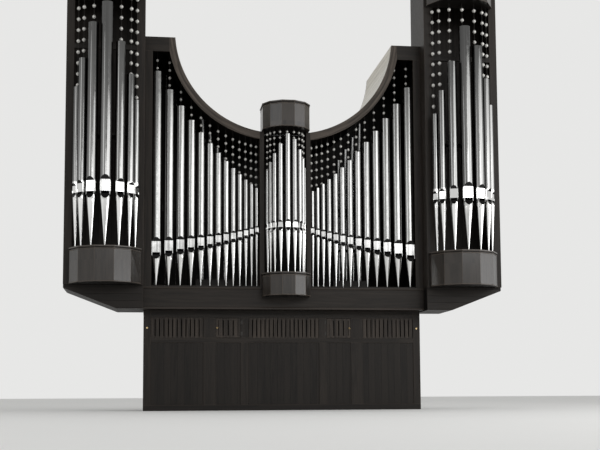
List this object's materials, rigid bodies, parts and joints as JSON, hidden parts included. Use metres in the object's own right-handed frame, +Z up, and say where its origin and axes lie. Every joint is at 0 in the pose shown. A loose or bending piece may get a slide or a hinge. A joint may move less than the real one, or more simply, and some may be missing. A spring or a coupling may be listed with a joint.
{
  "type": "pipe organ",
  "caption": "Church pipe organ: dark wooden case with a sweeping top, polygonal centre and pedal towers, shining front pipes, beaded rods over them and slatted hatches below.",
  "frame": {"origin": "middle of the bounding box at the level of the gallery floor", "axes": "+Z up, the pipe front faces -Y, +X to the right of someone who looks at the front"},
  "size_m": [9.12, 3.838, 9.21],
  "materials": {
    "case_wood": "dark stained oak, satin",
    "dark_wood": "near-black stain, matt",
    "drum_wood": "dark stained veneer with upright grain, satin",
    "pipe_metal": "polished tin, lightly clouded",
    "bead_silver": "turned wooden beads with worn silver paint",
    "brass": "dulled brass"
  },
  "bodies": {
    "case": {"plinth": "dark_wood", "lower_rails": "case_wood", "lower_posts": "case_wood", "lower_panels": "dark_wood", "slat_panels": "case_wood", "lower_sides": "case_wood", "lower_back": "dark_wood", "hatch_hinges": "brass", "impost_beam": "case_wood", "impost_floor": "dark_wood", "impost_sides": "case_wood", "toe_boards": "dark_wood", "case_stiles": "case_wood", "centre_stiles": "case_wood", "head_rails": "case_wood", "curved_rail_left": "case_wood", "curved_rail_right": "case_wood", "roof_left": "case_wood", "roof_right": "case_wood", "roof_centre": "case_wood", "case_sides": "case_wood", "case_back": "dark_wood", "rack_rails": "dark_wood", "flat_pipes_left": "pipe_metal", "flat_pipes_right": "pipe_metal", "bead_rods_left": "bead_silver", "bead_rods_right": "bead_silver", "inner_chest": "dark_wood", "inner_pipes": "pipe_metal", "centre_base": "drum_wood", "centre_cap": "drum_wood", "centre_pipes": "pipe_metal", "centre_beads": "bead_silver", "pedal_bases": "drum_wood", "pedal_consoles": "dark_wood", "pedal_stiles": "case_wood", "pedal_cases": "case_wood", "pedal_caps": "drum_wood", "pedal_roofs": "case_wood", "pedal_pipes": "pipe_metal", "pedal_beads": "bead_silver"},
    "left_hatch": {"hatch_left": "case_wood", "hatch_knob_left": "brass"},
    "right_hatch": {"hatch_right": "case_wood", "hatch_knob_right": "brass"}
  },
  "joints": [
    {"name": "left_hatch_hinge", "type": "hinge", "parent": "case", "child": "left_hatch", "pos_m": [-0.92, -0.54, 1.73], "axis": [0, 0, 1], "range_deg": [0, 100]},
    {"name": "right_hatch_hinge", "type": "hinge", "parent": "case", "child": "right_hatch", "pos_m": [0.92, -0.54, 1.73], "axis": [0, 0, -1], "range_deg": [0, 100]}
  ]
}
